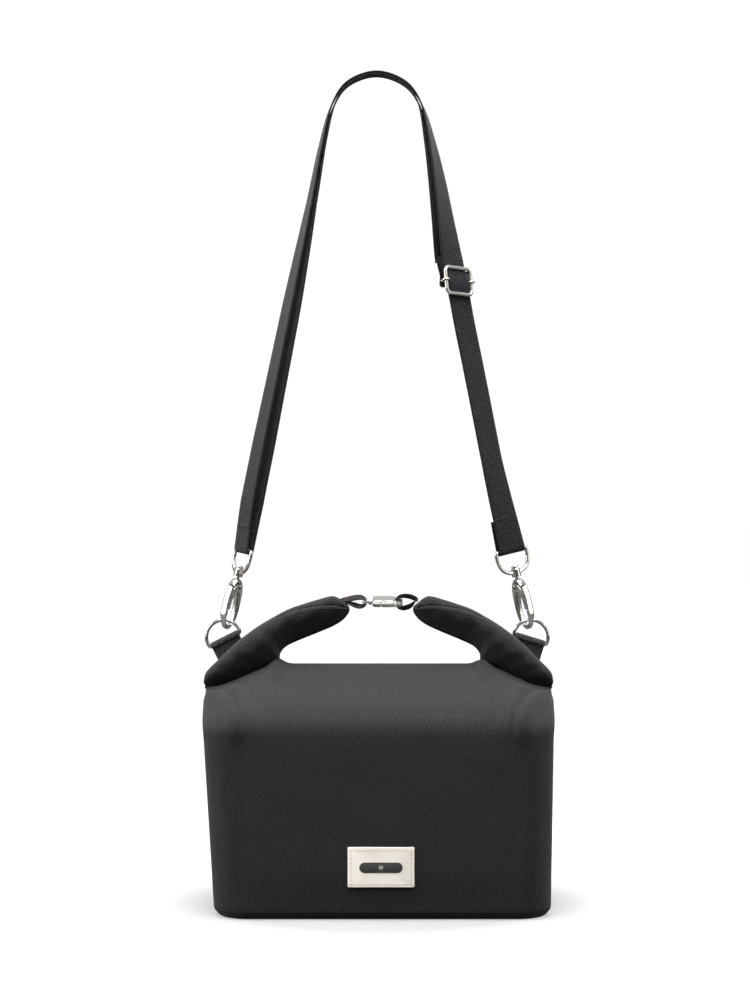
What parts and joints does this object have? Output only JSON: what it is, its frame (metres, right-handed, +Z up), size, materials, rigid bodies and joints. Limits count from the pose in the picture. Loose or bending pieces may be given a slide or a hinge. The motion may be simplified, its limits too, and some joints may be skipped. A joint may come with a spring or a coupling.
{
  "type": "insulated cooler bag",
  "caption": "Black fabric insulated cooler bag with a rolled neck, two padded handle arms joined by a clip, and a hooked adjustable shoulder strap.",
  "frame": {"origin": "centre of the bag body's plan at the underside of the base, z = 0 on the ground", "axes": "+X across the front to the viewer's right, +Y towards the back, +Z up"},
  "size_m": [0.2794, 0.1558, 0.6687],
  "materials": {
    "outer_fabric": "matte woven polyester, fine twill",
    "base_fabric": "matte woven polyester",
    "lining": "smooth silver-grey heat-sealed lining",
    "foam": "closed-cell foam",
    "board": "matte stiffening board",
    "arm_fabric": "matte woven polyester, padded",
    "webbing": "ribbed woven webbing",
    "loop_webbing": "narrow woven tape",
    "bright_nickel": "polished nickel plating",
    "satin_nickel": "satin nickel plating",
    "spring_steel": "bright spring steel",
    "patch": "matte cream synthetic leather",
    "badge": "flat dark print"
  },
  "bodies": {
    "bag": {"outer_walls": "outer_fabric", "outer_base": "base_fabric", "base_board": "board", "foam_base": "foam", "foam_front": "foam", "foam_back": "foam", "foam_left": "foam", "foam_right": "foam", "lining_tub": "lining", "lining_collar": "lining", "neck_roll": "arm_fabric", "mouth_stiffener": "board", "left_tab": "webbing", "right_tab": "webbing", "label_patch": "patch", "label_badge": "badge"},
    "handle": {"left_arm": "arm_fabric", "right_arm": "arm_fabric", "left_loop": "loop_webbing", "right_loop": "loop_webbing", "clip_eye": "bright_nickel"},
    "clip": {"clip_body": "bright_nickel", "clip_rivet": "bright_nickel"},
    "clip_gate": {"clip_gate": "bright_nickel"},
    "left_ring": {"left_ring": "bright_nickel"},
    "right_ring": {"right_ring": "bright_nickel"},
    "strap": {"shoulder_strap": "webbing", "left_hook_eye": "bright_nickel", "right_hook_eye": "bright_nickel"},
    "left_hook": {"left_hook_body": "bright_nickel", "left_hook_rivet": "bright_nickel", "left_hook_spring": "spring_steel"},
    "left_gate": {"left_hook_gate": "bright_nickel"},
    "right_hook": {"right_hook_body": "bright_nickel", "right_hook_rivet": "bright_nickel", "right_hook_spring": "spring_steel"},
    "right_gate": {"right_hook_gate": "bright_nickel"},
    "slider": {"slider_frame": "satin_nickel"},
    "slider_bar": {"slider_bar": "satin_nickel", "strap_end_loop": "webbing"}
  },
  "joints": [
    {"name": "handle_tilt", "type": "hinge", "parent": "bag", "child": "handle", "pos_m": [0, -0.001, 0.19], "axis": [1, 0, 0], "range_deg": [-4, 22]},
    {"name": "clip_swivel", "type": "hinge", "parent": "handle", "child": "clip", "pos_m": [0, 0.0025, 0.2414], "axis": [1, 0, 0], "range_deg": [-44, 0]},
    {"name": "clip_gate_press", "type": "hinge", "parent": "clip", "child": "clip_gate", "pos_m": [0.0002, -0.00251, 0.23938], "axis": [0, -0.3746, 0.9272], "range_deg": [0, 22], "stiffness_Nm_per_rad": 0.02, "springref_deg": -20.05},
    {"name": "strap_swing", "type": "hinge", "parent": "bag", "child": "strap", "pos_m": [0, 0.013, 0.226], "axis": [1, 0, 0], "range_deg": [-110, 110]},
    {"name": "left_ring_pivot", "type": "hinge", "parent": "bag", "child": "left_ring", "pos_m": [-0.1235, 0.013, 0.2102], "axis": [0.8942, 0, 0.4478], "range_deg": [-8.8, 8.8]},
    {"name": "right_ring_pivot", "type": "hinge", "parent": "bag", "child": "right_ring", "pos_m": [0.122, 0.013, 0.2101], "axis": [0.9563, 0, -0.2924], "range_deg": [-8.8, 8.8]},
    {"name": "left_hook_swivel", "type": "hinge", "parent": "strap", "child": "left_hook", "pos_m": [-0.1215, 0.013, 0.226], "axis": [0.225, 0, 0.9744], "range_deg": [0, 66]},
    {"name": "left_gate_press", "type": "hinge", "parent": "left_hook", "child": "left_gate", "pos_m": [-0.11381, 0.0152, 0.25317], "axis": [0.8263, -0.5299, -0.1908], "range_deg": [0, 22], "stiffness_Nm_per_rad": 0.03, "springref_deg": -20.05},
    {"name": "right_hook_swivel", "type": "hinge", "parent": "strap", "child": "right_hook", "pos_m": [0.1196, 0.013, 0.226], "axis": [-0.225, 0, 0.9744], "range_deg": [-66, 0]},
    {"name": "right_gate_press", "type": "hinge", "parent": "right_hook", "child": "right_gate", "pos_m": [0.11191, 0.0152, 0.25317], "axis": [0.8263, 0.5299, 0.1908], "range_deg": [0, 22], "stiffness_Nm_per_rad": 0.03, "springref_deg": -20.05},
    {"name": "slider_slide", "type": "slide", "parent": "strap", "child": "slider", "axis": [-0.1917, 0, 0.9815], "range_m": [-0.012, 0.006]},
    {"name": "slider_bar_slide", "type": "slide", "parent": "slider", "child": "slider_bar", "axis": [-0.1917, 0, 0.9815], "range_m": [-0.004, 0.002]}
  ],
  "couplings": [
    {"joint": "left_ring_pivot", "follows": "strap_swing", "ratio": 0.08},
    {"joint": "right_ring_pivot", "follows": "strap_swing", "ratio": 0.08}
  ]
}
